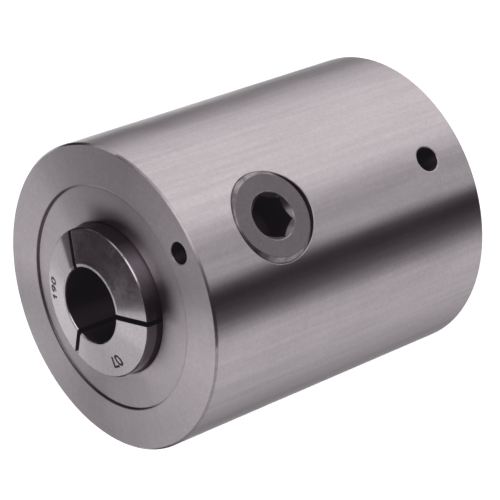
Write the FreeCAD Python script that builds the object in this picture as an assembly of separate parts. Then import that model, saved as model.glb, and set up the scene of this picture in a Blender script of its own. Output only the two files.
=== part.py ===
"""Key-operated draw-in collet chuck, standing on its rear face with the nose up (+Z), in millimetres.

A key turns the bevel pinion in the side wall. The pinion turns the draw gear, whose long internal thread
pulls the collet back into the taper of the nose sleeve, or pushes it out again.
"""
import FreeCAD, Part
import math
import os

V = FreeCAD.Vector
UP = V(0, 0, 1)
OUTWARD = V(0, -1, 0)          # direction of the key pinion, seen from the chuck's axis

# Every radius is built up from the collet outwards. The heights hang on the rear face and the front face.
# What the draw tube and the rear bush span in between takes up a change of the length.
BODY_L = 91.2
EDGE = 0.5                     # chamfer on the outer edges
HOLE_BREAK = 0.2               # edge break of the holes in the outer faces

# Clearances
SLIP = 0.02                    # located, not moving
RUN = 0.04                     # turning
TAPER_GAP = 0.015              # seated taper
END_PLAY = 0.1                 # between the faces of turning pieces
PINION_ROOM = 0.3              # around the pinion inside the chamber, and at the foot of its pilot
CHAMBER_ROOM = 0.4             # around the draw gear

# Collet: radii
SHANK_R = 15.875
TAPER = math.tan(math.radians(10))
HEAD_R = SHANK_R + 2.985       # 18.86
BORE_R = 9.525
LAND_R = BORE_R + 0.925        # flat land around the work bore
BORE_BREAK = 0.25
RELIEF_R = SHANK_R - 3.175     # inside of the spring fingers
REAR_THREAD_R = RELIEF_R + 0.2
THREAD_R = SHANK_R - 0.575     # mean radius that stands for the fine external thread
THREAD_RELIEF_R = THREAD_R - 0.5
SLIT_W = 1.3
SLIT_ANGLES = (-125.9, -5.9, 114.1)
KEYWAY_W, KEYWAY_D, KEY_ANGLE = 3.2, 1.6, 54.1

# Nose sleeve: radii, its screws, dowel, key and seal
BARREL_R = HEAD_R + 1.14       # 20
MOUTH_BREAK = 0.3
M4_R, M4_HEAD_R, M4_HEAD_H, M4_SOCKET, SLEEVE_THREAD = 2.0, 3.5, 4.0, 3.0, 6.0
M4_CLEAR_R = M4_R + 0.2
SLEEVE_SCREW_PCR = BARREL_R + M4_HEAD_R + 0.5
SLEEVE_SCREW_ANGLES = (-45, 45, 135, 225)
DOWEL_R, DOWEL_L, DOWEL_ANGLE = 2.0, 10.0, 90
KEY_R, KEY_DOG_R, KEY_SOCKET = 2.0, 1.5, 2.0
SEAL_SECTION_R = 0.8

# Bevel pair: straight teeth, shaft angle 90 degrees, both pitch cones meet on the chuck's axis
GEAR_TEETH, PINION_TEETH = 38, 12
FACE_WIDTH = 7.0
PRESSURE = math.radians(20)
THINNING = 0.10                # taken off each tooth's thickness for backlash
GEAR_PITCH_R = BARREL_R + FACE_WIDTH + 1.5
MODULE = 2 * GEAR_PITCH_R / GEAR_TEETH        # 1.5
ADDENDUM, DEDENDUM = 1.0 * MODULE, 1.25 * MODULE
PINION_PITCH_R = MODULE * PINION_TEETH / 2
CONE = math.hypot(GEAR_PITCH_R, PINION_PITCH_R)
INNER = 1 - FACE_WIDTH / CONE  # size of the small end of a tooth, the large end being 1

# Draw gear: radii
RIM_R = GEAR_PITCH_R + 0.7
TUBE_R = THREAD_R + 5.3
CLEAR_R = SHANK_R + 0.425      # passes the collet's shank
NUT_R = THREAD_R + 0.06        # mean radius that stands for the internal thread

# Key pinion: journal and lengths, measured outward from the chuck's axis, and its lock screw
CHAMBER_R = RIM_R + CHAMBER_ROOM
JOURNAL_R = PINION_PITCH_R + ADDENDUM + 1.0   # the teeth pass the bore
LOCK_R = 2.65
LOCK_DOG_R, LOCK_SOCKET = LOCK_R - 0.7, 3.0
LOCK_L, LOCK_SOCKET_DEPTH = 8.0, 3.0
COLLAR_IN = CHAMBER_R - PINION_ROOM
GROOVE_IN = COLLAR_IN + 1.5
LOCK_X = GROOVE_IN + LOCK_DOG_R + END_PLAY
GROOVE_OUT = LOCK_X + LOCK_DOG_R + END_PLAY
NECK_R = JOURNAL_R - 2.9
BODY_R = GROOVE_OUT + 3.9      # 38.8
PINION_FACE, PINION_CHAMFER = BODY_R - 0.4, 1.0
HEX_AF, HEX_DEPTH, HEX_CORNER = 10.0, 10.0, 8.5    # the last is the socket's turn as photographed
HEX_SINK_R = 0.615 * HEX_AF
DRILL_POINT = 1.2
PILOT_R = 3.5
PILOT_HOLE_END = SHANK_R + 1.425
PILOT_END = PILOT_HOLE_END + PINION_ROOM

# Body: radii and the holes in its rear and side
SEAT_R = LOCK_X - LOCK_R - 2.05               # counterbore that takes the nose sleeve
REAR_BORE_R = CHAMBER_R + 0.4  # register for the back plate, and seat of the rear bush
RING_GROOVE_R = REAR_BORE_R + 1.5
BAR_HOLE_R, BAR_HOLE_Z = 3.2, 13.0
BAR_HOLE_FLOOR = REAR_BORE_R + 1.4
MOUNT_TAP_R, MOUNT_DEPTH = 2.1, 12.0
MOUNT_R = RING_GROOVE_R + MOUNT_TAP_R + 1.4   # 35
MOUNT_ANGLES = (45, 135, 225, 315)

# Heights that hang on the front face
FLANGE_T, WEB_T = 9.0, 5.0
WEB_FRONT = BODY_L - FLANGE_T
WEB_REAR = WEB_FRONT - WEB_T
SLEEVE_FACE = BODY_L - 0.3
SLEEVE_SEAL_Z = WEB_REAR + WEB_T / 2
TAPER_TOP = BODY_L - 1.3       # where the full head diameter begins
TAPER_END = TAPER_TOP - (HEAD_R - SHANK_R) / TAPER
BAND_TOP = BODY_L + 4.0
FACE_TOP = BODY_L + 6.1
GRIP_END = FACE_TOP - 25.3     # rear end of the gripping bore
APEX_Z = WEB_REAR - JOURNAL_R - PINION_ROOM
LOCK_SHOULDER = APEX_Z + JOURNAL_R + 0.7
LOCK_TOP = LOCK_SHOULDER + LOCK_L
RIM_TOP = APEX_Z - PINION_PITCH_R - DEDENDUM - 0.625
RIM_T = 7.9
RIM_REAR = RIM_TOP - RIM_T
SHOULDER = RIM_REAR + 1.5      # thrust face inside the gear

# Needle thrust bearing between the gear's shoulder and the sleeve's end, and what sits above it
WASHER_T = 1.0
NEEDLE_R, NEEDLES = 1.0, 24
BEARING_IN, BEARING_OUT = SHANK_R + 0.525, BARREL_R - 0.1
NEEDLE_IN, NEEDLE_OUT = BEARING_IN + 0.6, BEARING_OUT - 0.5
CAGE_T, POCKET_GAP = 1.2, 0.05
BARREL_END = SHOULDER + 2 * WASHER_T + 2 * NEEDLE_R
KEY_Z = BARREL_END + KEY_R + 0.8
KEYWAY_TOP = KEY_Z + KEY_DOG_R + 0.8
SLIT_START = KEYWAY_TOP + 0.9

# Heights that hang on the rear face: register, retaining ring, rear bush, draw thread
REGISTER_L, RING_T = 5.7, 2.0
RING_GAP, EAR_R, EAR_HOLE_R, BAND_W = 9.0, 2.2, 0.9, 2.0
BUSH_REAR = REGISTER_L + RING_T
BUSH_SEAT = BUSH_REAR + 6.0
BUSH_SEAL_Z = BUSH_REAR + SEAL_SECTION_R + 1.1
BUSH_STEP = BUSH_SEAT + 0.5
BUSH_CLEAR_R = THREAD_R + 1.1
HUB_R = TUBE_R + 4.9
THRUST_T = 1.6
THRUST_IN, THRUST_OUT = TUBE_R + 0.4, HUB_R + 0.5
BUSH_TOP = RIM_REAR - THRUST_T - END_PLAY
BUSH_PIN_R, BUSH_PIN_ANGLE = 1.5, 90
BUSH_PIN_FOOT = BUSH_SEAL_Z + SEAL_SECTION_R + 0.3
COLLET_REAR = BUSH_STEP - 0.2
NUT_L, REAR_THREAD_L = 17.6, 14.0
TUBE_END = BUSH_STEP + 1.4
THREAD_TOP = TUBE_END + NUT_L
THREAD_RELIEF_TOP = THREAD_TOP + 1.8
REAR_THREAD_TOP = COLLET_REAR + REAR_THREAD_L


# Helpers

def polar(r, degrees, z=0.0):
    a = math.radians(degrees)
    return V(r * math.cos(a), r * math.sin(a), z)


def turned(points):
    """Solid of revolution about Z from (radius, height) pairs."""
    wire = Part.makePolygon([V(r, 0, z) for r, z in points] + [V(points[0][0], 0, points[0][1])])
    return Part.Face(wire).revolve(V(0, 0, 0), UP, 360)


def ring(r_in, r_out, z_low, z_high):
    return turned([(r_in, z_low), (r_out, z_low), (r_out, z_high), (r_in, z_high)])


def rod(r, start, direction, length):
    return Part.makeCylinder(r, length, start, direction)


def hexagon(af, start, direction, depth, corner=0.0):
    """Hexagonal prism; the first corner is `corner` degrees from local X, before Z is turned to direction."""
    r = af / math.sqrt(3)
    pts = [polar(r, corner + 60 * i) for i in range(7)]
    prism = Part.Face(Part.makePolygon(pts)).extrude(V(0, 0, depth))
    prism.Placement = FreeCAD.Placement(start, FreeCAD.Rotation(UP, direction))
    return prism


def edge_sink(r, centre):
    """Cone that breaks the upper edge of a hole of radius r."""
    low, high = -HOLE_BREAK, HOLE_BREAK
    cone = turned([(0, low), (r, low), (r + high - low, high), (0, high)])
    cone.translate(centre)
    return cone


def wedge_bar(width, r_in, r_out, z_low, z_high, degrees):
    """Straight bar that reaches out radially, for slits, keyways and pockets."""
    bar = Part.makeBox(r_out - r_in, width, z_high - z_low, V(r_in, -width / 2, z_low))
    bar.rotate(V(0, 0, 0), UP, degrees)
    return bar


def involute_angle(radius, base):
    return math.sqrt(max((radius / base) ** 2 - 1, 0)) - math.acos(min(base / radius, 1))


def tooth_space(teeth, pitch_r):
    """Cutter for one tooth space of a bevel gear with its apex at the origin and its teeth at positive Z."""
    slope = math.atan2(pitch_r, math.sqrt(CONE ** 2 - pitch_r ** 2))
    pitch = pitch_r / math.cos(slope)
    base = pitch * math.cos(PRESSURE)
    root, tip = pitch - DEDENDUM, pitch + ADDENDUM + 0.05
    half_tooth = (math.pi * MODULE / 2 - THINNING) / (2 * pitch)
    flank = []
    for i in range(6):
        rho = root + (tip - root) * i / 5
        lean = involute_angle(pitch, base) - involute_angle(max(rho, base), base)
        flank.append((rho, math.pi * MODULE / pitch / 2 - half_tooth - lean))
    profile = [(rho, -a) for rho, a in reversed(flank)] + flank + [(tip + ADDENDUM, 0)]
    points = []
    for rho, a in profile:
        turn = a / math.cos(slope)
        r = rho * math.cos(slope)
        height = CONE / math.cos(slope) - rho * math.sin(slope)
        points.append(V(r * math.cos(turn), r * math.sin(turn), height))
    large = [p * 1.08 for p in points]
    small = [p * (INNER - 0.12) for p in points]
    return fan_solid(large, small)


def fan_solid(large, small):
    """Closed solid between two polygons of the same number of corners."""
    n = len(large)
    faces = []
    for i in range(n):
        j = (i + 1) % n
        faces.append(Part.Face(Part.makePolygon([large[i], large[j], small[j], small[i], large[i]])))
    for loop in (large, small):
        centre = V(0, 0, 0)
        for p in loop:
            centre = centre + p * (1.0 / n)
        for i in range(n):
            faces.append(Part.Face(Part.makePolygon([centre, loop[i], loop[(i + 1) % n], centre])))
    solid = Part.makeSolid(Part.makeShell(faces))
    if solid.Volume < 0:
        solid.reverse()
    return solid


def cut_teeth(blank, teeth, pitch_r, first):
    """Cuts all tooth spaces; the first one is centred `first` degrees from X."""
    space = tooth_space(teeth, pitch_r)
    tools = []
    for i in range(teeth):
        tool = space.copy()
        tool.rotate(V(0, 0, 0), UP, first + 360.0 * i / teeth)
        tools.append(tool)
    return blank.cut(Part.makeCompound(tools))


def cone_point(pitch_r, height, size=1.0):
    """(radius, distance from the apex) of a point `height` above the pitch cone at a tooth's end."""
    slope = math.atan2(pitch_r, math.sqrt(CONE ** 2 - pitch_r ** 2))
    rho = pitch_r / math.cos(slope) + height
    return size * rho * math.cos(slope), size * (CONE / math.cos(slope) - rho * math.sin(slope))


# Body and what is fixed to it

def body():
    shell = turned([
        (SEAT_R, WEB_FRONT), (SEAT_R, BODY_L - 0.2), (SEAT_R + 0.2, BODY_L), (BODY_R - EDGE, BODY_L),
        (BODY_R, BODY_L - EDGE), (BODY_R, EDGE), (BODY_R - EDGE, 0), (REAR_BORE_R + EDGE, 0),
        (REAR_BORE_R, EDGE), (REAR_BORE_R, BUSH_REAR - RING_T), (RING_GROOVE_R, BUSH_REAR - RING_T),
        (RING_GROOVE_R, BUSH_REAR), (REAR_BORE_R, BUSH_REAR), (REAR_BORE_R, BUSH_SEAT),
        (CHAMBER_R, BUSH_SEAT), (CHAMBER_R, WEB_REAR), (BARREL_R + SLIP, WEB_REAR),
        (BARREL_R + SLIP, WEB_FRONT),
    ])
    holes = [
        rod(JOURNAL_R + RUN, OUTWARD * BARREL_R + UP * APEX_Z, OUTWARD, BODY_R),
        rod(LOCK_R + SLIP, V(0, -LOCK_X, APEX_Z), UP, BODY_L),
        edge_sink(LOCK_R + SLIP, V(0, -LOCK_X, BODY_L)),
        rod(BAR_HOLE_R, OUTWARD * BAR_HOLE_FLOOR + UP * BAR_HOLE_Z, OUTWARD, BODY_R),
        rod(DOWEL_R, polar(SLEEVE_SCREW_PCR, DOWEL_ANGLE, WEB_REAR), UP, WEB_T + 1),
        rod(BUSH_PIN_R, polar(REAR_BORE_R, BUSH_PIN_ANGLE, BUSH_PIN_FOOT), UP, BUSH_SEAT - BUSH_PIN_FOOT),
    ]
    for a in SLEEVE_SCREW_ANGLES:
        holes.append(rod(M4_CLEAR_R, polar(SLEEVE_SCREW_PCR, a, WEB_REAR), UP, WEB_T + 1))
    for a in MOUNT_ANGLES:
        holes.append(rod(MOUNT_TAP_R, polar(MOUNT_R, a), UP, MOUNT_DEPTH))
    shell = shell.cut(Part.makeCompound(holes))
    rims = [e for e in shell.Edges if on_outer_wall(e)]
    return shell.makeChamfer(HOLE_BREAK, rims)


def on_outer_wall(edge):
    """True for the curved rims that the pinion's bore and the bar hole leave in the side."""
    box = edge.BoundBox
    if box.XLength < 1 or box.ZLength < 1:
        return False
    return all(abs(math.hypot(p.x, p.y) - BODY_R) < 0.01 for p in edge.discretize(9))


def nose_sleeve():
    mouth = HEAD_R + (SLEEVE_FACE - TAPER_TOP) * TAPER + TAPER_GAP
    groove = (SLEEVE_SEAL_Z - SEAL_SECTION_R - 0.1, SLEEVE_SEAL_Z + SEAL_SECTION_R + 0.1)
    sleeve = turned([
        (SHANK_R + SLIP, BARREL_END), (BARREL_R, BARREL_END), (BARREL_R, groove[0]),
        (BARREL_R - 2 * SEAL_SECTION_R, groove[0]), (BARREL_R - 2 * SEAL_SECTION_R, groove[1]),
        (BARREL_R, groove[1]), (BARREL_R, WEB_FRONT), (SEAT_R - SLIP, WEB_FRONT),
        (SEAT_R - SLIP, SLEEVE_FACE - MOUTH_BREAK), (SEAT_R - SLIP - MOUTH_BREAK, SLEEVE_FACE),
        (mouth + MOUTH_BREAK, SLEEVE_FACE), (mouth, SLEEVE_FACE - MOUTH_BREAK),
        (SHANK_R + TAPER_GAP, TAPER_END), (SHANK_R + SLIP, TAPER_END - 0.1),
    ])
    holes = [
        rod(DOWEL_R, polar(SLEEVE_SCREW_PCR, DOWEL_ANGLE, WEB_FRONT), UP, DOWEL_L / 2),
        rod(PILOT_R + RUN, OUTWARD * PILOT_HOLE_END + UP * APEX_Z, OUTWARD, BARREL_R),
        rod(KEY_R, polar(RELIEF_R, KEY_ANGLE, KEY_Z), polar(1, KEY_ANGLE), BARREL_R),
    ]
    for a in SLEEVE_SCREW_ANGLES:
        holes.append(rod(M4_R, polar(SLEEVE_SCREW_PCR, a, WEB_FRONT), UP, SLEEVE_THREAD + 1))
    return sleeve.cut(Part.makeCompound(holes))


def sleeve_screws():
    screws = []
    for a in SLEEVE_SCREW_ANGLES:
        foot = polar(SLEEVE_SCREW_PCR, a, WEB_REAR)
        screw = rod(M4_R - 0.01, foot, UP, WEB_FRONT - WEB_REAR + SLEEVE_THREAD)
        screw = screw.fuse(rod(M4_HEAD_R, foot - UP * M4_HEAD_H, UP, M4_HEAD_H)).removeSplitter()
        screws.append(screw.cut(hexagon(M4_SOCKET, foot - UP * M4_HEAD_H, UP, 0.55 * M4_HEAD_H, a)))
    return Part.makeCompound(screws)


def sleeve_dowel():
    return rod(DOWEL_R, polar(SLEEVE_SCREW_PCR, DOWEL_ANGLE, WEB_FRONT - DOWEL_L / 2), UP, DOWEL_L - 0.2)


def seal_ring(centre_r, z):
    return Part.makeTorus(centre_r, SEAL_SECTION_R, V(0, 0, z), UP)


def collet_key():
    out = polar(1, KEY_ANGLE)
    dog_end = SHANK_R - KEYWAY_D + 0.2
    outer = BARREL_R - 0.2
    inner = SHANK_R + 0.3
    key = rod(KEY_R, out * inner + UP * KEY_Z, out, outer - inner)
    key = key.fuse(rod(KEY_DOG_R, out * dog_end + UP * KEY_Z, out, inner - dog_end)).removeSplitter()
    return key.cut(hexagon(KEY_SOCKET, out * (outer - 1.5) + UP * KEY_Z, out, KEY_R))


# Collet

def collet():
    blank = turned([
        (REAR_THREAD_R + 0.4, COLLET_REAR), (THREAD_R - 0.5, COLLET_REAR), (THREAD_R, COLLET_REAR + 0.5),
        (THREAD_R, THREAD_TOP), (THREAD_RELIEF_R, THREAD_TOP + 0.4),
        (THREAD_RELIEF_R, THREAD_RELIEF_TOP - 0.6),
        (SHANK_R - 0.4, THREAD_RELIEF_TOP), (SHANK_R, THREAD_RELIEF_TOP + 0.4), (SHANK_R, TAPER_END),
        (HEAD_R, TAPER_TOP), (HEAD_R, BAND_TOP - 0.35), (HEAD_R - 0.35, BAND_TOP),
        (LAND_R, FACE_TOP), (BORE_R + BORE_BREAK, FACE_TOP), (BORE_R, FACE_TOP - BORE_BREAK),
        (BORE_R, GRIP_END),
        (RELIEF_R, GRIP_END - 4), (RELIEF_R, REAR_THREAD_TOP + 0.5), (REAR_THREAD_R, REAR_THREAD_TOP),
        (REAR_THREAD_R, COLLET_REAR + 0.4),
    ])
    cuts = [wedge_bar(KEYWAY_W, SHANK_R - KEYWAY_D, BARREL_R, COLLET_REAR - 1, KEYWAY_TOP, KEY_ANGLE)]
    for a in SLIT_ANGLES:
        cuts.append(wedge_bar(SLIT_W, BORE_R - 1, SEAT_R, SLIT_START, FACE_TOP + 1, a))
    return blank.cut(Part.makeCompound(cuts))


# Draw gear and its bearings

def draw_gear():
    tip_out, tip_in = cone_point(GEAR_PITCH_R, ADDENDUM), cone_point(GEAR_PITCH_R, ADDENDUM, INNER)
    root_out, root_in = cone_point(GEAR_PITCH_R, -DEDENDUM), cone_point(GEAR_PITCH_R, -DEDENDUM, INNER)
    teeth = [(r, APEX_Z - d) for r, d in (root_out, tip_out, tip_in, root_in)]
    journal = BARREL_R + RUN
    blank = turned([
        (NUT_R + 0.5, TUBE_END), (TUBE_R - 0.5, TUBE_END), (TUBE_R, TUBE_END + 0.5), (TUBE_R, RIM_REAR),
        (RIM_R - 0.5, RIM_REAR), (RIM_R, RIM_REAR + 0.5), (RIM_R, RIM_TOP - 0.5), (RIM_R - 0.5, RIM_TOP),
        (root_out[0] - 0.2, RIM_TOP), *teeth, (journal + 0.3, teeth[3][1]), (journal, teeth[3][1] - 0.3),
        (journal, SHOULDER), (CLEAR_R, SHOULDER), (CLEAR_R, THREAD_TOP), (NUT_R, THREAD_TOP - 0.6),
        (NUT_R, TUBE_END + 0.5),
    ])
    # the cutters have their teeth at positive Z from the apex, so the blank is turned over for the cut
    blank.translate(V(0, 0, -APEX_Z))
    blank.rotate(V(0, 0, 0), V(1, 0, 0), 180)
    gear = cut_teeth(blank, GEAR_TEETH, GEAR_PITCH_R, 90)
    gear.rotate(V(0, 0, 0), V(1, 0, 0), 180)
    gear.translate(V(0, 0, APEX_Z))
    return gear


def bearing_washer(z):
    return ring(BEARING_IN, BEARING_OUT, z, z + WASHER_T)


def bearing_needles():
    z = SHOULDER + WASHER_T + NEEDLE_R
    step = 360 / NEEDLES
    return Part.makeCompound([
        rod(NEEDLE_R, polar(NEEDLE_IN, i * step, z), polar(1, i * step), NEEDLE_OUT - NEEDLE_IN)
        for i in range(NEEDLES)])


def bearing_cage():
    z = SHOULDER + WASHER_T + NEEDLE_R
    cage = ring(BEARING_IN + 0.1, BEARING_OUT - 0.1, z - CAGE_T / 2, z + CAGE_T / 2)
    width = 2 * (NEEDLE_R + POCKET_GAP)
    inner, outer = NEEDLE_IN - POCKET_GAP, NEEDLE_OUT + POCKET_GAP
    pockets = [wedge_bar(width, inner, outer, z - 1, z + 1, 360 / NEEDLES * i) for i in range(NEEDLES)]
    return cage.cut(Part.makeCompound(pockets))


def rear_bush():
    groove = (BUSH_SEAL_Z - SEAL_SECTION_R - 0.1, BUSH_SEAL_Z + SEAL_SECTION_R + 0.1)
    rim = REAR_BORE_R - SLIP
    deep = rim - 2 * SEAL_SECTION_R
    bush = turned([
        (BUSH_CLEAR_R + 0.5, BUSH_REAR), (rim - 0.4, BUSH_REAR), (rim, BUSH_REAR + 0.4), (rim, groove[0]),
        (deep, groove[0]), (deep, groove[1]), (rim, groove[1]), (rim, BUSH_SEAT), (HUB_R, BUSH_SEAT),
        (HUB_R, BUSH_TOP - 0.5), (HUB_R - 0.5, BUSH_TOP), (TUBE_R + RUN + 0.5, BUSH_TOP),
        (TUBE_R + RUN, BUSH_TOP - 0.5), (TUBE_R + RUN, BUSH_STEP), (BUSH_CLEAR_R, BUSH_STEP),
        (BUSH_CLEAR_R, BUSH_REAR + 0.5),
    ])
    return bush.cut(rod(BUSH_PIN_R, polar(REAR_BORE_R, BUSH_PIN_ANGLE, groove[1]), UP, BUSH_SEAT))


def bush_pin():
    foot = polar(REAR_BORE_R, BUSH_PIN_ANGLE, BUSH_PIN_FOOT)
    return rod(BUSH_PIN_R - 0.01, foot, UP, BUSH_SEAT - END_PLAY - BUSH_PIN_FOOT)


def rear_thrust_washer():
    return ring(THRUST_IN, THRUST_OUT, BUSH_TOP + 0.02, BUSH_TOP + THRUST_T)


def retaining_ring():
    z = REGISTER_L + END_PLAY / 2
    band = ring(REAR_BORE_R - BAND_W, RING_GROOVE_R - 0.1, z, z + RING_T - END_PLAY)
    band = band.cut(wedge_bar(RING_GAP, HUB_R, BODY_R, 0, BUSH_SEAT, 90))
    for side in (-1, 1):
        ear = V(side * (RING_GAP / 2 + 1.3), REAR_BORE_R - EAR_R + 0.1, z)
        band = band.fuse(rod(EAR_R, ear, UP, RING_T - END_PLAY))
        band = band.cut(rod(EAR_HOLE_R, ear - V(0, 0.4, 1), UP, 2 * RING_T + 1))
    return band.removeSplitter()


# Key pinion and its lock screw

def key_pinion():
    tip_out, tip_in = cone_point(PINION_PITCH_R, ADDENDUM), cone_point(PINION_PITCH_R, ADDENDUM, INNER)
    root_out, root_in = cone_point(PINION_PITCH_R, -DEDENDUM), cone_point(PINION_PITCH_R, -DEDENDUM, INNER)
    journal = JOURNAL_R - 0.01
    blank = turned([
        (0, PILOT_END), (PILOT_R - 0.3, PILOT_END), (PILOT_R, PILOT_END + 0.3), (PILOT_R, root_in[1]),
        root_in,
        tip_in, tip_out, root_out, (root_out[0], COLLAR_IN), (journal - 0.3, COLLAR_IN),
        (journal, COLLAR_IN + 0.3), (journal, GROOVE_IN), (NECK_R, GROOVE_IN), (NECK_R, GROOVE_OUT),
        (journal, GROOVE_OUT), (journal, PINION_FACE - PINION_CHAMFER),
        (journal - PINION_CHAMFER, PINION_FACE), (0, PINION_FACE),
    ])
    pinion = cut_teeth(blank, PINION_TEETH, PINION_PITCH_R, 90 + 180 / PINION_TEETH)
    collar = turned([(0, root_out[1] + 0.05), (journal - 0.3, COLLAR_IN), (journal, COLLAR_IN + 0.3),
                     (journal, GROOVE_IN), (0, GROOVE_IN)])
    pinion = pinion.fuse(collar).removeSplitter()
    corner_r = HEX_AF / math.sqrt(3)
    floor = PINION_FACE - HEX_DEPTH
    socket = hexagon(HEX_AF, UP * floor, UP, HEX_DEPTH + 1, HEX_CORNER)
    drill_point = turned([(0, floor - DRILL_POINT), (corner_r * 0.85, floor + 0.01), (0, floor + 0.01)])
    sink = turned([(0, PINION_FACE - HEX_SINK_R), (HEX_SINK_R + 1, PINION_FACE + 1), (0, PINION_FACE + 1)])
    pinion = pinion.cut(socket).cut(drill_point).cut(sink)
    # local Z is turned to point outward from the chuck's axis
    pinion.rotate(V(0, 0, 0), V(1, 0, 0), 90)
    pinion.translate(V(0, 0, APEX_Z))
    return pinion


def pinion_screw():
    dog_end = APEX_Z + NECK_R + 0.25
    top = V(0, -LOCK_X, LOCK_TOP)
    screw = rod(LOCK_R, V(0, -LOCK_X, LOCK_SHOULDER), UP, LOCK_TOP - LOCK_SHOULDER)
    dog = rod(LOCK_DOG_R, V(0, -LOCK_X, dog_end), UP, LOCK_SHOULDER - dog_end)
    screw = screw.fuse(dog).removeSplitter()
    return screw.cut(hexagon(LOCK_SOCKET, top - UP * LOCK_SOCKET_DEPTH, UP, LOCK_SOCKET_DEPTH + 1))


PIECES = {
    "body": body,
    "nose_sleeve": nose_sleeve,
    "sleeve_screws": sleeve_screws,
    "sleeve_dowel": sleeve_dowel,
    "sleeve_seal": lambda: seal_ring(BARREL_R - SEAL_SECTION_R, SLEEVE_SEAL_Z),
    "collet": collet,
    "collet_key": collet_key,
    "draw_gear": draw_gear,
    "bearing_front_washer": lambda: bearing_washer(BARREL_END - WASHER_T),
    "bearing_needles": bearing_needles,
    "bearing_cage": bearing_cage,
    "bearing_rear_washer": lambda: bearing_washer(SHOULDER),
    "rear_thrust_washer": rear_thrust_washer,
    "rear_bush": rear_bush,
    "bush_pin": bush_pin,
    "bush_seal": lambda: seal_ring(REAR_BORE_R - SLIP - SEAL_SECTION_R, BUSH_SEAL_Z),
    "retaining_ring": retaining_ring,
    "key_pinion": key_pinion,
    "pinion_screw": pinion_screw,
}

os.makedirs("parts", exist_ok=True)
for name, make in PIECES.items():
    shape = make()
    shape.exportStep("parts/" + name + ".step")
    print(name, "solids", len(shape.Solids), "valid", shape.isValid(), "volume", round(shape.Volume, 1))
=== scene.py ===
import math

import bmesh
import bpy
from mathutils import Matrix, Vector


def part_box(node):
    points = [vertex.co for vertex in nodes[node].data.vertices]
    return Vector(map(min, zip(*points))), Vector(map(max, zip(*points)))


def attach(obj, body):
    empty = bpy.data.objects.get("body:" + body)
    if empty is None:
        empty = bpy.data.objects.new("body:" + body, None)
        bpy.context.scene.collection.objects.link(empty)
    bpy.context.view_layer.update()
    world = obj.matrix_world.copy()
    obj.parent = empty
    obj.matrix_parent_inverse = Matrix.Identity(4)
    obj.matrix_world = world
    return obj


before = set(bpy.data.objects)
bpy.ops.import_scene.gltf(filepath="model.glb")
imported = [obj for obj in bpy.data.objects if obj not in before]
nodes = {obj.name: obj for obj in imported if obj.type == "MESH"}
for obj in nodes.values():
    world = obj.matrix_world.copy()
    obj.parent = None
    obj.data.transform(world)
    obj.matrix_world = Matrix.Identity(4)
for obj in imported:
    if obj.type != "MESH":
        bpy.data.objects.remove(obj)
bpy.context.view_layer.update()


# The body is one turned shell of alloy steel, hardened and then ground bright on its side and faces.
# Grinding leaves fine rings round the axis, and wiping leaves faint streaks across them.
# Its holes were drilled before hardening and keep the dark scale. Shade is painted in part of the seam round
# the nose sleeve.
BODY_R, BODY_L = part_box("body")[1].x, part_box("body")[1].z
PINION_Z = sum(corner.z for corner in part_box("key_pinion")) / 2
LOCK_HOLE_Y = sum(corner.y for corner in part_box("pinion_screw")) / 2
BAR_HOLE_Z = 0.013
LOCK_SCALE_R, BAR_SCALE_R, BORE_SCALE_R = 0.00272, 0.00324, 0.01158  # a hair past each hole's wall
SIDE_HOLES_Y = -0.02  # the bar hole and the pinion's bore lie on the -Y side of this
# Dark scale and painted shade both take this colour and roughness.
SCALE_AND_SHADE_COLOUR, SCALE_ROUGHNESS = (0.035, 0.031, 0.032), 0.5
RINGS_PER_METRE, RING_DEPTH = 3600.0, 1.5e-6
SEAM_R = 0.0283
SEAM_SHADE_X, SEAM_SHADE_Y, SEAM_SHADE_HALF = 0.00009, 0.00014, 0.00028  # the painted shade lies on one wall of the seam
SEAM_SHADE_TURN = 80  # degrees round from +X, the middle of the half that holds the painted shade
RIM_CHAMFER, RIM_STEP = 0.0005, 0.00002
RIM_BREAK_TURN = -85.2  # degrees round from +X, the middle of the side where the rim is broken wide


def put(tree, kind, **settings):
    """Adds a shader node and sets its named properties."""
    made = tree.nodes.new(kind)
    for key, value in settings.items():
        setattr(made, key, value)
    return made


def feed(tree, made, **inputs):
    """Joins or sets a node's inputs by name, with underscores for spaces, or by place: i0 is the first."""
    for key, value in inputs.items():
        name = key.replace("_", " ")
        socket = made.inputs[name] if name in made.inputs else made.inputs[int(key[1:])]
        if isinstance(value, bpy.types.NodeSocket):
            tree.links.new(value, socket)
        else:
            socket.default_value = value
    return made


def maths(tree, operation, *values):
    """One arithmetic step on one or two numbers or sockets."""
    step = put(tree, "ShaderNodeMath", operation=operation)
    for place, value in enumerate(values):
        feed(tree, step, **{"i%d" % place: value})
    return step.outputs[0]


def folded(tree, operation, values):
    """The same arithmetic step over several numbers or sockets, from left to right."""
    result = values[0]
    for value in values[1:]:
        result = maths(tree, operation, result, value)
    return result


def plus(tree, *values):
    """The sum of several numbers or sockets."""
    return folded(tree, "ADD", values)


def minus(tree, a, b):
    """The difference of two numbers or sockets."""
    return maths(tree, "SUBTRACT", a, b)


def times(tree, *values):
    """The product of several numbers or sockets."""
    return folded(tree, "MULTIPLY", values)


def most(tree, *values):
    """The largest of several numbers or sockets."""
    return folded(tree, "MAXIMUM", values)


def ramp(tree, value, low, high, start=0.0, end=1.0, soft=False):
    """Maps a value from low..high to start..end, held at both ends."""
    step = put(tree, "ShaderNodeMapRange", interpolation_type="SMOOTHSTEP" if soft else "LINEAR")
    feed(tree, step, Value=value, From_Min=low, From_Max=high, To_Min=start, To_Max=end)
    return step.outputs[0]


def below(tree, value, limit, soft=0.00004):
    """1 where the value is under the limit, fading to 0 across it."""
    return ramp(tree, value, limit - soft, limit + soft, 1.0, 0.0)


def blend_colour(tree, factor, a, b, mode="MIX"):
    """Goes from colour a to colour b as the factor goes from 0 to 1."""
    step = put(tree, "ShaderNodeMix", data_type="RGBA", blend_type=mode)
    a, b = [(*colour, 1.0) if isinstance(colour, tuple) else colour for colour in (a, b)]
    feed(tree, step, i0=factor, i6=a, i7=b)
    return step.outputs[2]


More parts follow.
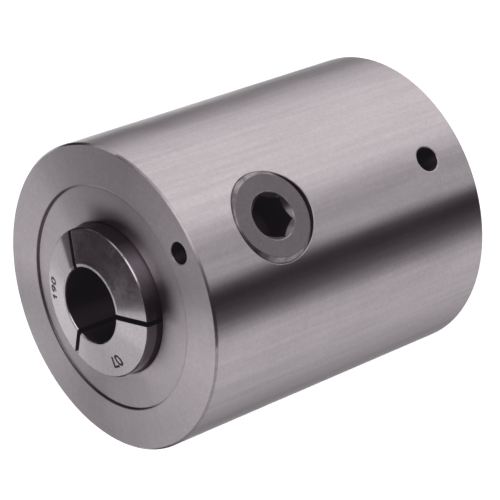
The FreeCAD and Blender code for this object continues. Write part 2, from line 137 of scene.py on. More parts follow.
def mixed_normal(tree, factor, a, b):
    """Goes from normal a to normal b as the factor goes from 0 to 1."""
    step = put(tree, "ShaderNodeMix", data_type="VECTOR")
    feed(tree, step, i0=factor, i4=a, i5=b)
    return step.outputs[1]


def grain(tree, vector, scale, detail=3.0, rough=0.5):
    """Noise from 0 to 1 at a place."""
    step = put(tree, "ShaderNodeTexNoise")
    feed(tree, step, Vector=vector, Scale=scale, Detail=detail, Roughness=rough)
    return step.outputs["Fac"]


def triple(tree, x, y, z):
    """Three numbers as one vector."""
    step = put(tree, "ShaderNodeCombineXYZ")
    feed(tree, step, X=x, Y=y, Z=z)
    return step.outputs[0]


def place_of(tree):
    """The three coordinates of a point, in metres in the chuck's frame."""
    split = put(tree, "ShaderNodeSeparateXYZ")
    feed(tree, split, Vector=put(tree, "ShaderNodeTexCoord").outputs["Object"])
    return split.outputs[0], split.outputs[1], split.outputs[2]


def reach(tree, x, y):
    """Distance of (x, y) from the middle."""
    return maths(tree, "SQRT", plus(tree, times(tree, x, x), times(tree, y, y)))


def toward(tree, x, y, turn):
    """How far (x, y) lies in the direction that is `turn` degrees round from +X."""
    angle = math.radians(turn)
    return plus(tree, times(tree, x, math.cos(angle)), times(tree, y, math.sin(angle)))


def around_axis(tree, axis="Z", axis_z=0.0):
    """Cosine, sine, radius and distance along, about the chuck's axis or about a Y axis at a height."""
    x, y, z = place_of(tree)
    if axis == "Y":
        y, z = minus(tree, z, axis_z), y
    r = most(tree, reach(tree, x, y), 1e-5)
    return maths(tree, "DIVIDE", x, r), maths(tree, "DIVIDE", y, r), r, z


def turned_steel(name, light, dark, roughness, stretch=0.8, streak=0.5, lobing=6e-6, rings=1.0, axis="Z",
                 axis_z=0.0, scaled=None, worn_edge=0.00025, dish=0.0, edge=None, hair=0.0):
    """Steel turned or ground about an axis: rings round it, streaks across them, dull patches, eased edges.

    `stretch` is how far the rings draw out a highlight, `streak` the share of streaks against patches,
    `lobing` the height of the waves that the wheel leaves, and `rings` the strength of the rings.
    `scaled` gets the tree and gives a factor that is 1 where dark scale was left on or where shade is
    painted.
    `worn_edge` is the radius that edges seem to have, and `edge` gets the tree and the normal eased by it,
    and may change it. `dish` is the slope that lapping leaves on a face, outwards.
    `hair` is the strength of the fine lines that wiping leaves along the body's side.
    """
    made = bpy.data.materials.new(name)
    made.use_nodes = True
    tree = made.node_tree
    cosine, sine, r, along = around_axis(tree, axis, axis_z)
    streaks = grain(tree, triple(tree, cosine, sine, times(tree, plus(tree, r, along), 1.5)),
                    scale=16.0, detail=6.0, rough=0.62)
    fine_rings = grain(tree, triple(tree, times(tree, along, RINGS_PER_METRE),
                                    times(tree, r, RINGS_PER_METRE), times(tree, cosine, 2.4)),
                       scale=1.0, detail=4.0, rough=0.6)
    patches = grain(tree, triple(tree, times(tree, cosine, r), times(tree, sine, r), along),
                    scale=55.0, detail=4.0)
    pits = grain(tree, triple(tree, *place_of(tree)), scale=1100.0, detail=3.0, rough=0.75)

    worn = plus(tree, times(tree, ramp(tree, streaks, 0.3, 0.7), streak),
                times(tree, ramp(tree, patches, 0.3, 0.7), 1 - streak))
    colour = blend_colour(tree, worn, dark, light)
    colour = blend_colour(tree, ramp(tree, fine_rings, 0.35, 0.65, 0.0, 0.25 * rings), colour, dark)
    in_pits = tuple(0.9 * channel for channel in dark)
    colour = blend_colour(tree, ramp(tree, pits, 0.35, 0.65, 0.0, 0.6), colour, in_pits)
    if hair:
        lines = grain(tree, triple(tree, cosine, sine, times(tree, along, 1.1)),
                      scale=28.0, detail=3.5, rough=0.6)
        on_side = ramp(tree, r, BODY_R - 0.0008, BODY_R - 0.0006)
        shift = times(tree, ramp(tree, lines, 0.32, 0.68, -hair, hair), on_side)
        colour = blend_colour(tree, 1.0, colour, plus(tree, shift, 1.0), "MULTIPLY")

    rough = plus(tree, ramp(tree, patches, 0.3, 0.7, roughness - 0.03, roughness + 0.03),
                 ramp(tree, fine_rings, 0.3, 0.7, -0.02 * rings, 0.02 * rings))
    if scaled:
        left = scaled(tree)
        # Where scale was left on or shade is painted, the colour goes dark.
        colour = blend_colour(tree, left, colour, SCALE_AND_SHADE_COLOUR)
        rough = most(tree, rough, times(tree, left, SCALE_ROUGHNESS))

    eased = put(tree, "ShaderNodeBevel", samples=6)
    feed(tree, eased, Radius=worn_edge)
    normal = edge(tree, eased.outputs[0]) if edge else eased.outputs[0]
    for relief, depth, inward in ((r, dish, True), (streaks, lobing, False),
                                  (fine_rings, RING_DEPTH * rings, False)):
        bump = put(tree, "ShaderNodeBump", invert=inward)
        feed(tree, bump, Height=relief, Distance=depth, Strength=1.0, Normal=normal)
        normal = bump.outputs[0]
    tangent = put(tree, "ShaderNodeTangent", direction_type="RADIAL", axis=axis)
    feed(tree, tree.nodes["Principled BSDF"], Base_Color=colour, Roughness=rough, Metallic=1.0,
         Anisotropic=stretch, Anisotropic_Rotation=0.25, Tangent=tangent.outputs[0], Normal=normal)
    return made


def drilled_holes(tree):
    """1 inside the holes, where the scale stays."""
    x, y, z = place_of(tree)
    lock = below(tree, reach(tree, x, minus(tree, y, LOCK_HOLE_Y)), LOCK_SCALE_R)
    bar = below(tree, reach(tree, x, minus(tree, z, BAR_HOLE_Z)), BAR_SCALE_R)
    bore = below(tree, reach(tree, x, minus(tree, z, PINION_Z)), BORE_SCALE_R)
    side_holes = times(tree, most(tree, bar, bore), below(tree, y, SIDE_HOLES_Y))
    return most(tree, side_holes, times(tree, lock, below(tree, z, BODY_L - 0.0001)))


def hole_scale_and_seam_shade(tree):
    """The holes' scale, and painted shade in part of the seam round the nose sleeve."""
    cosine, sine = around_axis(tree)[:2]
    x, y = place_of(tree)[:2]
    ring = reach(tree, minus(tree, x, SEAM_SHADE_X), minus(tree, y, SEAM_SHADE_Y))
    seam = below(tree, maths(tree, "ABSOLUTE", minus(tree, ring, SEAM_R)), SEAM_SHADE_HALF, 0.00016)
    seam = times(tree, seam, ramp(tree, toward(tree, cosine, sine, SEAM_SHADE_TURN), -0.3, 0.15, 0.0, 0.9))
    return most(tree, drilled_holes(tree), seam)


def rim_edge(tree, eased):
    """The front rim is broken wide on one side only; elsewhere its edge is crisp, as bright as the side."""
    cosine, sine, r, z = around_axis(tree)
    near_rim = times(tree, ramp(tree, z, BODY_L - 0.0013, BODY_L - 0.0012),
                     ramp(tree, r, BODY_R - 0.0017, BODY_R - 0.0016))
    crisp = times(tree, near_rim,
                  ramp(tree, toward(tree, cosine, sine, RIM_BREAK_TURN), 0.715, 0.755, 1.0, 0.0))
    chamfer_r, chamfer_z = BODY_R - RIM_CHAMFER, BODY_L - RIM_CHAMFER
    chamfer = times(tree, ramp(tree, r, chamfer_r, chamfer_r + RIM_STEP),
                    ramp(tree, z, chamfer_z, chamfer_z + RIM_STEP))
    true_normal = put(tree, "ShaderNodeNewGeometry").outputs["Normal"]
    plain = mixed_normal(tree, chamfer, true_normal, triple(tree, cosine, sine, 0.0))
    return mixed_normal(tree, crisp, eased, plain)


def finish_node(node, made):
    """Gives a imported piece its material."""
    slots = nodes[node].data.materials
    slots.clear()
    slots.append(made)


body_steel = turned_steel("body ground steel", light=(0.71, 0.642, 0.678), dark=(0.61, 0.549, 0.582),
                          roughness=0.33, stretch=0.98, scaled=hole_scale_and_seam_shade, worn_edge=0.0004, dish=0.06,
                          edge=rim_edge, hair=0.065)
finish_node("body", body_steel)


# The body has four tapped holes for a back plate and a threaded hole for the lock screw.
# The taps leave shining flanks and sharp crests; the lock screw's hole was tapped before hardening
# and keeps its scale.
MOUNT_HOLES_R, MOUNT_HOLES_TURN = 0.035, 45
THREAD_FOOT, THREAD_CREST = 0.44, 0.05  # half widths of the ridge, of its pitch
tapped_steel = turned_steel("tapped thread steel", light=(0.26, 0.235, 0.245), dark=(0.12, 0.11, 0.115),
                            roughness=0.42, stretch=0.3, worn_edge=0.00005)
scaled_steel = turned_steel("scaled thread steel", light=(0.06, 0.055, 0.057), dark=(0.03, 0.028, 0.029),
                            roughness=0.5, stretch=0.3, worn_edge=0.00005)


def piece_of(shape, name, made):
    """Turns a bmesh into a piece with its material."""
    mesh = bpy.data.meshes.new(name)
    shape.to_mesh(mesh)
    shape.free()
    mesh.materials.append(made)
    piece = bpy.data.objects.new(name, mesh)
    bpy.context.scene.collection.objects.link(piece)
    return piece


def thread_ridge(name, made, centre, root_r, crest_r, pitch, low, high, steps):
    """Helical ridge that tapers out over a third of a turn at both ends, with so many steps a turn.

    The crest lies inside the root in a hole, and outside it on a shaft.
    """
    turns = (high - low - pitch) / pitch
    count = max(int(turns * steps), 8)
    run_out = steps / 3
    shape = bmesh.new()
    loops = []
    for i in range(count + 1):
        turn = 2 * math.pi * turns * i / count
        grow = min(1.0, i / run_out + 0.02, (count - i) / run_out + 0.02)
        middle = low + pitch / 2 + pitch * turns * i / count
        top_r = root_r + (crest_r - root_r) * grow
        loop = []
        for r, part in ((root_r, -THREAD_FOOT), (top_r, -THREAD_CREST), (top_r, THREAD_CREST),
                        (root_r, THREAD_FOOT)):
            x, y = centre[0] + r * math.cos(turn), centre[1] + r * math.sin(turn)
            loop.append(shape.verts.new((x, y, middle + part * pitch * grow)))
        loops.append(loop)
    for a, b in zip(loops, loops[1:]):
        for k in range(4):
            shape.faces.new((a[k], a[(k + 1) % 4], b[(k + 1) % 4], b[k]))
    shape.faces.new(loops[0])
    shape.faces.new(reversed(loops[-1]))
    bmesh.ops.recalc_face_normals(shape, faces=shape.faces)
    return piece_of(shape, name, made)


for i in range(4):
    turn = math.radians(MOUNT_HOLES_TURN + 90 * i)
    spot = (MOUNT_HOLES_R * math.cos(turn), MOUNT_HOLES_R * math.sin(turn))
    ridge = thread_ridge("mounting_thread_%d" % (i + 1), tapped_steel, spot, root_r=0.00212, crest_r=0.00196,
                         pitch=0.0008, low=0.0002, high=0.0116, steps=24)
    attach(ridge, "chuck")
lock_thread = thread_ridge("lock_hole_thread", scaled_steel, (0.0, LOCK_HOLE_Y), root_r=0.00269,
                           crest_r=0.0025, pitch=0.0008, low=0.0858, high=0.0906, steps=32)
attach(lock_thread, "chuck")


# The nose sleeve is a hardened insert, ground on its face and in its taper.
# It sits in the body's counterbore with a fine seam and is screwed from behind.
# Shade is painted on its face: a thin line round the collet, and two patches reaching outwards from it.
SHADE_PATCHES = (
    # middle in degrees round from +X, half of its dark part, half of its width, how far out, how dark
    (-111.5, 3, 16, 0.0272, 0.74),
    (-45, 12, 33, 0.0258, 0.55),
)
SHADE_LINE_R, SHADE_LINE_END_R, SHADE_FROM_R = 0.0191, 0.0200, 0.021
LAPPED_R = 0.0275


def painted_sleeve_shade(tree):
    """1 where shade is painted on the sleeve's face: a thin line round the collet, and two patches reaching
    outwards.
    """
    cosine, sine, r = around_axis(tree)[:3]
    left = ramp(tree, r, SHADE_LINE_R, SHADE_LINE_END_R, 0.1, 0.0, soft=True)
    for turn, dark_half, half, far, amount in SHADE_PATCHES:
        across = ramp(tree, toward(tree, cosine, sine, turn), math.cos(math.radians(half)),
                      math.cos(math.radians(dark_half)), 0.0, amount, soft=True)
        outwards = ramp(tree, r, SHADE_FROM_R, far, 1.0, 0.0, soft=True)
        left = most(tree, left, times(tree, across, outwards))
    return left


def lapped_edge(tree, eased):
    """The sleeve's outer edge was lapped with the body, so its break hardly shows."""
    x, y = place_of(tree)[:2]
    lapped = ramp(tree, reach(tree, x, y), LAPPED_R, LAPPED_R + 0.0001)
    return mixed_normal(tree, lapped, eased, (0.0, 0.0, 1.0))


sleeve_steel = turned_steel("sleeve ground steel", light=(0.69, 0.627, 0.66), dark=(0.59, 0.53, 0.56),
                            roughness=0.33, stretch=0.98, scaled=painted_sleeve_shade, dish=0.06, edge=lapped_edge)
finish_node("nose_sleeve", sleeve_steel)


# The collet is spring steel, hardened and ground, with a bore and three sawn slits.
# Its face is a shallow cone, smoother than the body's.
# Scale stays in the bore and the slits; shade is painted on the head's side and in part on the cone.
SLIT_TURNS = [-125.9 + 120 * i for i in range(3)]
SLIT_SCALE_HALF = 0.00068
BORE_EDGE_R = 0.00957
HEAD_SIDE_R = 0.0187
HEAD_SHADES = (
    # middle in degrees round from +X, cosines where it begins and where it is full, how dark
    (-94.8, 0.2, 0.5, 0.6),
    (-30, 0.65, 0.92, 0.5),
)
DARK_CORNER_TURN, CONE_SHADE_TURN = -145, -53.13


def bore_and_slits(tree):
    """1 in the bore and in the slits."""
    x, y = place_of(tree)[:2]
    left = below(tree, reach(tree, x, y), BORE_EDGE_R)
    for turn in SLIT_TURNS:
        off = maths(tree, "ABSOLUTE", toward(tree, x, y, turn + 90))
        slit = times(tree, below(tree, off, SLIT_SCALE_HALF, 0.00002),
                     ramp(tree, toward(tree, x, y, turn), 0.0, 0.0001))
        left = most(tree, left, slit)
    return left


def shade_on_head(tree):
    """Painted shade on the head's side: two broad patches, and the corner next to the sleeve."""
    cosine, sine, r, z = around_axis(tree)
    head_shades = plus(tree, *[ramp(tree, toward(tree, cosine, sine, turn), begin, full, 0.0, amount)
                          for turn, begin, full, amount in HEAD_SHADES])
    corner = times(tree, ramp(tree, toward(tree, cosine, sine, DARK_CORNER_TURN), 0.78, 0.93, 0.5, 0.97),
                   ramp(tree, z, BODY_L + 0.0008, BODY_L + 0.0022, 1.0, 0.0, soft=True))
    return times(tree, most(tree, head_shades, corner), ramp(tree, r, HEAD_SIDE_R, HEAD_SIDE_R + 0.00008))


def shade_on_cone(tree):
    """Painted shade on the cone: a dark wedge beside one slit, a painted reflection, and mottled shade on one
    side.
    """
    cosine, sine = around_axis(tree)[:2]
    wedge = times(tree, ramp(tree, sine, 0.065, 0.14, 0.62, 0.0), ramp(tree, sine, -0.113, -0.105),
                  ramp(tree, cosine, 0.0, 0.1))
    mottle = grain(tree, triple(tree, *place_of(tree)), scale=260.0, detail=5.0, rough=0.7)
    mottled_shade = times(tree, ramp(tree, mottle, 0.46, 0.72, 0.0, 0.6),
                 ramp(tree, toward(tree, cosine, sine, CONE_SHADE_TURN), 0.45, 0.7))
    return most(tree, wedge, mottled_shade)


def collet_scale_and_shade(tree):
    """1 where scale covers the collet or shade is painted on it."""
    return most(tree, bore_and_slits(tree), shade_on_head(tree), shade_on_cone(tree))


collet_steel = turned_steel("collet ground steel", light=(0.66, 0.61, 0.645), dark=(0.58, 0.53, 0.56),
                            roughness=0.20, stretch=0.95, streak=0.4, lobing=3e-6, scaled=collet_scale_and_shade,
                            worn_edge=0.00016)
finish_node("collet", collet_steel)


# The collet has two threads of one pitch: an outer one for the draw gear and an inner one for a work stop.
# They are single-point cut, and the outer crests lie under the shank's surface so that they clear the sleeve.
COLLET_PITCH = 0.00127
outer_thread = thread_ridge("collet_draw_thread", tapped_steel, (0, 0), root_r=0.01528, crest_r=0.015345,
                            pitch=COLLET_PITCH, low=0.0147, high=0.0332, steps=64)
stop_thread = thread_ridge("collet_stop_thread", tapped_steel, (0, 0), root_r=0.01293, crest_r=0.0125,
                           pitch=COLLET_PITCH, low=0.0146, high=0.0277, steps=64)
for ridge in (outer_thread, stop_thread):
    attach(ridge, "collet")


# Numbers are stamped in the collet's cone with steel punches before it is hardened.
# Dark oil stays in their strokes, which follow the cone.
FACE_IN, FACE_OUT, FACE_HIGH, FACE_LOW = 0.01045, 0.01851, BODY_L + 0.0061, BODY_L + 0.004
DIGIT_WIDTH = 0.6  # of its height
STROKE_WIDTH, STROKE_SUNK, STROKE_PROUD = 0.00031, 0.00004, 0.00001
STROKES = {
    # the points of each digit's lines, across and up, for a height of 1
    "0": [[(0.3, 0.0), (0.52, 0.12), (0.6, 0.5), (0.52, 0.88), (0.3, 1.0), (0.08, 0.88), (0.0, 0.5),
           (0.08, 0.12), (0.3, 0.0)]],
    "1": [[(0.08, 0.76), (0.34, 1.0), (0.34, 0.0)]],
    "7": [[(0.0, 1.0), (0.6, 1.0), (0.22, 0.0)]],
    "9": [[(0.58, 0.66), (0.42, 0.45), (0.16, 0.45), (0.0, 0.68), (0.12, 0.94), (0.42, 1.0), (0.58, 0.66),
           (0.5, 0.22), (0.2, 0.0)]],
}
oiled_stamp = bpy.data.materials.new("oiled stamp")
oiled_stamp.use_nodes = True
tree = oiled_stamp.node_tree
specks = grain(tree, triple(tree, *place_of(tree)), scale=2600.0, detail=3.0)
speckled = blend_colour(tree, ramp(tree, specks, 0.35, 0.7), (0.015, 0.013, 0.014), (0.06, 0.052, 0.055))
feed(tree, tree.nodes["Principled BSDF"], Base_Color=speckled, Roughness=0.45, Metallic=0.6)


def stamped(name, text, turn, middle_r, high, spacing):
    """Number on the collet's cone: closed strips that lie in the surface and stand a hair proud of it."""
    shape = bmesh.new()
    width = DIGIT_WIDTH * high * len(text) + spacing * (len(text) - 1)

    def on_cone(u, v, lift):
        """The point of the cone that is u along the number and v outwards from its middle, lifted."""
        r = middle_r + v
        angle = math.radians(turn) - u / middle_r
        z = FACE_HIGH + (r - FACE_IN) / (FACE_OUT - FACE_IN) * (FACE_LOW - FACE_HIGH) + lift
        return r * math.cos(angle), r * math.sin(angle), z

    for i, digit in enumerate(text):
        start = -width / 2 + i * (DIGIT_WIDTH * high + spacing)
        for line in STROKES[digit]:
            points = [Vector((start + u * high, (v - 0.5) * high)) for u, v in line]
            for p, q in zip(points, points[1:]):
                along = (q - p).normalized() * STROKE_WIDTH * 0.5
                aside = Vector((-along.y, along.x)) * 2
                corners = [p - along - aside, q + along - aside, q + along + aside, p - along + aside]
                foot = [shape.verts.new(on_cone(c.x, c.y, -STROKE_SUNK)) for c in corners]
                top = [shape.verts.new(on_cone(c.x, c.y, STROKE_PROUD)) for c in corners]
                shape.faces.new(reversed(foot))
                shape.faces.new(top)
                for k in range(4):
                    shape.faces.new((foot[k], foot[(k + 1) % 4], top[(k + 1) % 4], top[k]))
    bmesh.ops.recalc_face_normals(shape, faces=shape.faces)
    piece = piece_of(shape, name, oiled_stamp)
    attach(piece, "collet")


stamped("stamped_size_190", "190", turn=56.8, middle_r=0.0160, high=0.0023, spacing=0.0007)
stamped("stamped_number_07", "07", turn=174.8, middle_r=0.0148, high=0.0026, spacing=0.0004)


# The key pinion is turned from alloy steel, hardened and left darker than the body.
# The edge of its hexagon socket and the outer edge of its end are lighter: wear from the key, and a painted
# highlight. The socket is painted black inside, painted shade, which on one side reaches up to its edge.
PINION_END_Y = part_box("key_pinion")[0].y
SOCKET_SHADE_R, SOCKET_SINK_R, SOCKET_EDGE_R, END_EDGE_R = 0.0061, 0.00624, 0.00615, 0.01045
WORN_HIGHLIGHT_COLOUR, WORN_HIGHLIGHT_DEPTH = (0.38, 0.352, 0.365), 0.0014


def socket_inside(tree):
    """1 in the hexagon socket, where shade is painted: below its countersink, and up to its edge on one side.
    """
    x, y, z = place_of(tree)
    r = reach(tree, x, minus(tree, z, PINION_Z))
    depth = minus(tree, y, PINION_END_Y)
    past = minus(tree, 1.0, below(tree, plus(tree, r, depth), SOCKET_SINK_R))
    shaded_side = ramp(tree, maths(tree, "DIVIDE", x, r), 0.70, 0.78)
    return times(tree, below(tree, r, SOCKET_SHADE_R), most(tree, past, shaded_side))


def wear_and_highlight_edges(made):
    """Lays patchy bright colour over the edge of the socket and the outer edge of the pinion's end: wear, and
    a painted highlight.
    """
    tree = made.node_tree
    steel = tree.nodes["Principled BSDF"]
    x, y, z = place_of(tree)
    r = reach(tree, x, minus(tree, z, PINION_Z))
    off_socket = maths(tree, "ABSOLUTE", minus(tree, r, SOCKET_EDGE_R))
    edges = most(tree, below(tree, off_socket, 0.00013, 0.0001),
                 ramp(tree, r, END_EDGE_R, END_EDGE_R + 0.00015))
    worn_and_lit = times(tree, edges, below(tree, y, PINION_END_Y + WORN_HIGHLIGHT_DEPTH),
                   ramp(tree, grain(tree, triple(tree, x, y, z), scale=420.0, detail=3.0), 0.38, 0.6))
    bare_colour = steel.inputs["Base Color"].links[0].from_socket
    feed(tree, steel, Base_Color=blend_colour(tree, worn_and_lit, bare_colour, WORN_HIGHLIGHT_COLOUR))


pinion_steel = turned_steel("pinion hardened steel", light=(0.25, 0.226, 0.238), dark=(0.19, 0.171, 0.18),
                            roughness=0.38, stretch=0.5, streak=0.3, lobing=2e-6, axis="Y", axis_z=PINION_Z,
                            scaled=socket_inside, worn_edge=0.0003)
wear_and_highlight_edges(pinion_steel)
finish_node("key_pinion", pinion_steel)


# Screws are cold headed, rolled and blackened: the lock screw, the collet key and the sleeve's cap screws.
# The black oxide is thin and uneven, so a little steel shows through in specks.
def plain_metal(name, light, dark, roughness, scale=300.0, metal=1.0, relief=2e-6, spread=0.06):
    """Metal or rubber without a turning direction: speckle, dull patches and a fine relief."""
    made = bpy.data.materials.new(name)
    made.use_nodes = True
    tree = made.node_tree
    here = triple(tree, *place_of(tree))
    specks = grain(tree, here, scale, detail=4.0, rough=0.6)
    patches = grain(tree, here, scale * 0.12, detail=3.0)
    worn = times(tree, plus(tree, ramp(tree, specks, 0.35, 0.65), ramp(tree, patches, 0.3, 0.7)), 0.5)
    bump = put(tree, "ShaderNodeBump")
    feed(tree, bump, Height=specks, Distance=relief, Strength=1.0)
    feed(tree, tree.nodes["Principled BSDF"], Base_Color=blend_colour(tree, worn, dark, light),
         Roughness=ramp(tree, patches, 0.3, 0.7, roughness - spread, roughness + spread),
         Metallic=metal, Normal=bump.outputs[0])
    return made


black_oxide = plain_metal("black oxide", light=(0.075, 0.072, 0.075), dark=(0.03, 0.029, 0.031),
                          roughness=0.42, scale=500.0)
for node in ("pinion_screw", "collet_key", "sleeve_screws"):
    finish_node(node, black_oxide)


# The dowel and the bush pin are hardened, then ground without centres to a near mirror.
# They are pressed in and never move, so they keep their shine.
pin_steel = plain_metal("ground pin steel", light=(0.74, 0.73, 0.74), dark=(0.62, 0.61, 0.62), roughness=0.18,
                        scale=900.0, relief=5e-7, spread=0.04)
for node in ("sleeve_dowel", "bush_pin"):
    finish_node(node, pin_steel)


# The draw gear is of case-hardening steel: its teeth are cut after turning, and it is then hardened.
# The furnace leaves it grey-brown, and turning marks still show round it.
gear_steel = turned_steel("hardened gear steel", light=(0.34, 0.31, 0.30), dark=(0.20, 0.185, 0.18),
                          roughness=0.40, stretch=0.6, streak=0.3, lobing=3e-6)
finish_node("draw_gear", gear_steel)


# The thrust bearing is a bought part: two lapped washers, ground needles and a pressed steel cage.
# Washers and needles are bright chrome steel, and the cage is blued in the furnace.
bearing_steel = turned_steel("lapped bearing steel", light=(0.76, 0.75, 0.76), dark=(0.68, 0.67, 0.68),
                             roughness=0.20, stretch=0.6, lobing=1e-6, rings=0.5)
needle_steel = plain_metal("ground needle steel", light=(0.78, 0.77, 0.78), dark=(0.70, 0.69, 0.70),
                           roughness=0.14, scale=1200.0, relief=3e-7, spread=0.03)
cage_steel = plain_metal("blued cage steel", light=(0.22, 0.23, 0.27), dark=(0.12, 0.13, 0.16),
                         roughness=0.36, scale=260.0)
for node in ("bearing_front_washer", "bearing_rear_washer"):
    finish_node(node, bearing_steel)
finish_node("bearing_needles", needle_steel)
finish_node("bearing_cage", cage_steel)


# The rear thrust washer is turned from tin bronze and takes the push when the collet is let out.
# It runs in oil, so it is warm brown, with fine rings and darker streaks.
bronze = turned_steel("tin bronze", light=(0.62, 0.40, 0.20), dark=(0.42, 0.25, 0.12), roughness=0.34,
                      stretch=0.6, streak=0.4, lobing=4e-6)
finish_node("rear_thrust_washer", bronze)


# The rear bush is turned from fine grey iron with a coarser feed than the ground pieces.
# It closes the gear's chamber and shows at the back, inside the retaining ring.
bush_iron = turned_steel("turned bush iron", light=(0.50, 0.47, 0.475), dark=(0.38, 0.355, 0.36),
                         roughness=0.40, stretch=0.85, streak=0.4, lobing=4e-6, rings=1.8)
finish_node("rear_bush", bush_iron)


# The retaining ring is stamped from spring strip, hardened and phosphated grey-black.
# Phosphate leaves an even, slightly grainy coat.
spring_steel = plain_metal("phosphated spring steel", light=(0.17, 0.165, 0.17), dark=(0.09, 0.087, 0.09),
                           roughness=0.48, scale=380.0, metal=0.9)
finish_node("retaining_ring", spring_steel)


# The two O-rings are moulded from nitrile rubber.
# They are black with a slight oily sheen and a fine grain from the mould.
seal_rubber = plain_metal("nitrile rubber", light=(0.030, 0.029, 0.030), dark=(0.014, 0.014, 0.015),
                          roughness=0.52, scale=700.0, metal=0.0, relief=4e-6)
for node in ("sleeve_seal", "bush_seal"):
    finish_node(node, seal_rubber)


# The studio is a bright room: soft upright panels round the chuck, dark gaps between them, a pale floor.
# Azimuths and elevations are in degrees in the chuck's frame.
# What the chuck's side reflects lies low in the room, and what its front face reflects lies high.
FLOOR_HALF, FLOOR_Z = 3.0, -0.0002
LOW_GAPS = (
    # azimuth, half its width and its soft edge: each is one dark band along the chuck's side
    (-131.5, 16.5, 5),
    (36.5, 11.5, 2.5),
    (113.5, 5, 2),
)
HIGH_LIGHTS = (
    # azimuth, elevation, half the width, soft edge, strength, strength outside it
    (-64, 50, 18, 8, 1.6, 0.008),  # for the collet head's side, by way of the sleeve's face
    (-25, 46, 16, 8, 0.8, 0.0),  # the same, further round
    (82, 16, 6.5, 3.5, 1.0, 0.0),  # for the collet's cone beside the 190
    (104, 54, 8, 2, 0.3, 0.0),  # for the cone beside the lower slit
    (98, 36, 8, 4, 0.12, 0.0),  # for the cone beside the 07
    (0, 90, 11, 6, 0.6, 0.0),  # overhead, for the front face as other sides see it
)


def aim(azimuth, elevation):
    """Direction of unit length."""
    a, e = math.radians(azimuth), math.radians(elevation)
    return Vector((math.cos(a) * math.cos(e), math.sin(a) * math.cos(e), math.sin(e)))


room = bpy.data.worlds.new("studio")
bpy.context.scene.world = room
room.use_nodes = True
sky = room.node_tree
sky.nodes.clear()


def unit(vector):
    """The vector at a length of one."""
    step = put(sky, "ShaderNodeVectorMath", operation="NORMALIZE")
    feed(sky, step, i0=vector)
    return step.outputs[0]


ray = unit(put(sky, "ShaderNodeTexCoord").outputs["Generated"])
flat = put(sky, "ShaderNodeVectorMath", operation="MULTIPLY")
feed(sky, flat, i0=ray, i1=(1.0, 1.0, 0.0))
level = unit(flat.outputs[0])
split_ray = put(sky, "ShaderNodeSeparateXYZ")
feed(sky, split_ray, Vector=ray)
height = split_ray.outputs["Z"]


def facing(vector, direction):
    """Cosine of the angle between two directions."""
    dot = put(sky, "ShaderNodeVectorMath", operation="DOT_PRODUCT")
    feed(sky, dot, i0=vector, i1=direction)
    return dot.outputs["Value"]


def panel(vector, direction, half, soft, amount, rest=0.0):
    """Soft-edged light round a direction: half its width and its edge are in degrees."""
    off = maths(sky, "ARCCOSINE", facing(vector, direction))
    return ramp(sky, off, math.radians(half - soft), math.radians(half + soft), amount, rest, soft=True)


def upright(azimuth, half, soft, amount, rest=0.0):
    """Light that stands at an azimuth and is the same at every height."""
    return panel(level, aim(azimuth, 0), half, soft, amount, rest)


def gap(azimuth, half, soft):
    """Factor that cuts a dark gap in the lights at an azimuth."""
    return upright(azimuth, half, soft, 0.0, 1.0)


def between(factor, a, b):
    """Goes from a to b as the factor goes from 0 to 1."""
    step = put(sky, "ShaderNodeMix", data_type="FLOAT")
    feed(sky, step, i0=factor, i2=a, i3=b)
    return step.outputs[0]


# The low lights are one broad panel that fades at both sides, one in front within a wider dim one,
# and one at the side that is stronger further down.
side_strip = times(sky, upright(76.5, 28, 3, 1.1), ramp(sky, height, -0.45, -0.2, 1.65, 0.45))
strips = plus(sky, upright(-172, 57.6, 54.9, 0.72), upright(-29, 46, 16, 0.66),
              upright(-28.5, 85.9, 3.0, 0.355, 0.03), side_strip)
low = times(sky, strips, *[gap(*place) for place in LOW_GAPS])

# The back wall fills what the front face reflects. It ends at one side in a straight edge, which the
# rings show as a step from light to dark, and fades at two others.
across = facing(ray, aim(153.7, -24.5))
back_wall = times(sky, ramp(sky, across, -0.13, -0.105, 0.0, 0.64, soft=True),
                  ramp(sky, across, -0.1, 0.12, 0.9, 1.0),
                  ramp(sky, facing(ray, aim(-9.5, 26.2)), -0.42, -0.02, soft=True),
                  ramp(sky, facing(ray, aim(85, 0)), 0.0, 0.15, soft=True))
panels = [panel(ray, aim(azimuth, elevation), half, soft, amount, rest)
          for azimuth, elevation, half, soft, amount, rest in HIGH_LIGHTS]
front_light = times(sky, upright(-120, 90, 15, 0.42), gap(-131.5, 22, 8),
                    ramp(sky, height, 0.31, 0.41, 1.0, 0.0, soft=True))
high = plus(sky, back_wall, *panels, front_light)

# Low and high lights meet just above the horizon, and somewhat higher round azimuth 0.
raised = minus(sky, height, upright(0, 45, 15, 0.16))
lights = between(ramp(sky, raised, -0.05, 0.2, soft=True), low, high)
seen = between(put(sky, "ShaderNodeLightPath").outputs["Is Camera Ray"], lights, 1.0)
glow = put(sky, "ShaderNodeBackground")
feed(sky, glow, Color=(1.0, 1.0, 1.0, 1.0), Strength=seen)
sky.links.new(glow.outputs[0], put(sky, "ShaderNodeOutputWorld").inputs[0])

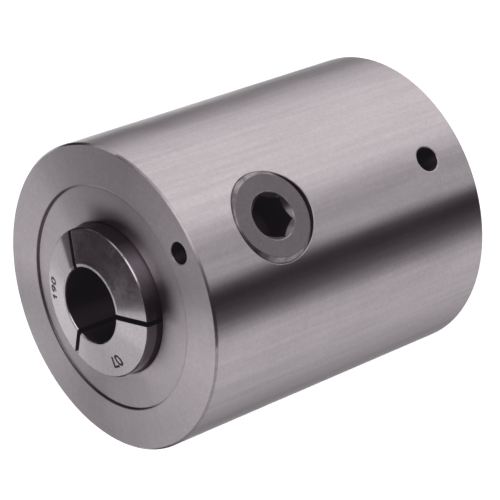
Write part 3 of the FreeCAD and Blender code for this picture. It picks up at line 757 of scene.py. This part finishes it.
paper = bpy.data.materials.new("pale paper")
paper.use_nodes = True
tree = paper.node_tree
feed(tree, tree.nodes["Principled BSDF"], Base_Color=(0.9, 0.9, 0.9, 1.0), Roughness=0.9,
     Emission_Color=(1, 1, 1, 1), Emission_Strength=0.95)
shape = bmesh.new()
bmesh.ops.create_grid(shape, x_segments=8, y_segments=8, size=FLOOR_HALF)
bmesh.ops.translate(shape, vec=(0, 0, FLOOR_Z), verts=shape.verts)
floor = piece_of(shape, "studio_floor", paper)
floor.visible_glossy = False
floor.visible_shadow = False


# The picture is toned as the photograph is: its greys and shadows lean to plum at every brightness.
# The red and blue curves shift these tones a little, each from a linear value to the one beside it.
RED, BLUE = 0, 2
BLACK_LEVEL = -0.006
PLUM_TONES = {
    RED: ((0.006, 0.0068), (0.018, 0.0222), (0.09, 0.0940), (0.18, 0.1825), (0.35, 0.35)),
    BLUE: ((0.006, 0.0072), (0.018, 0.0210), (0.09, 0.0950), (0.24, 0.2445), (0.40, 0.40), (0.6, 0.59)),
}
scene = bpy.context.scene
scene.view_settings.view_transform = "Standard"
scene.view_settings.use_curve_mapping = True
toning = scene.view_settings.curve_mapping
toning.black_level = (BLACK_LEVEL,) * 3
for channel, tones in PLUM_TONES.items():
    for tone, toned in tones:
        toning.curves[channel].points.new(tone, toned)
toning.update()


# The camera stands where the photograph was taken from, about 0.63 m away, with a long lens.
# Its place and its three axes come from a fit to the chuck's outline and circles.
CAMERA_PLACE = Vector((-0.0605974, -0.4743804, 0.4216702))
CAMERA_RIGHT = Vector((-0.42019165, -0.53063313, -0.73611647))
CAMERA_UP = Vector((0.90212367, -0.33191688, -0.27568836))
CAMERA_BACK = Vector((-0.0980401, -0.77991003, 0.61816541))
LENS_MM, SENSOR_MM = 172.63, 36.0
camera = bpy.data.objects.new("camera", bpy.data.cameras.new("camera"))
scene.collection.objects.link(camera)
turned = Matrix((CAMERA_RIGHT, CAMERA_UP, CAMERA_BACK)).transposed().to_4x4()
camera.matrix_world = Matrix.Translation(CAMERA_PLACE) @ turned
camera.data.lens = LENS_MM
camera.data.sensor_width = SENSOR_MM
camera.data.clip_start = 0.01
scene.camera = camera
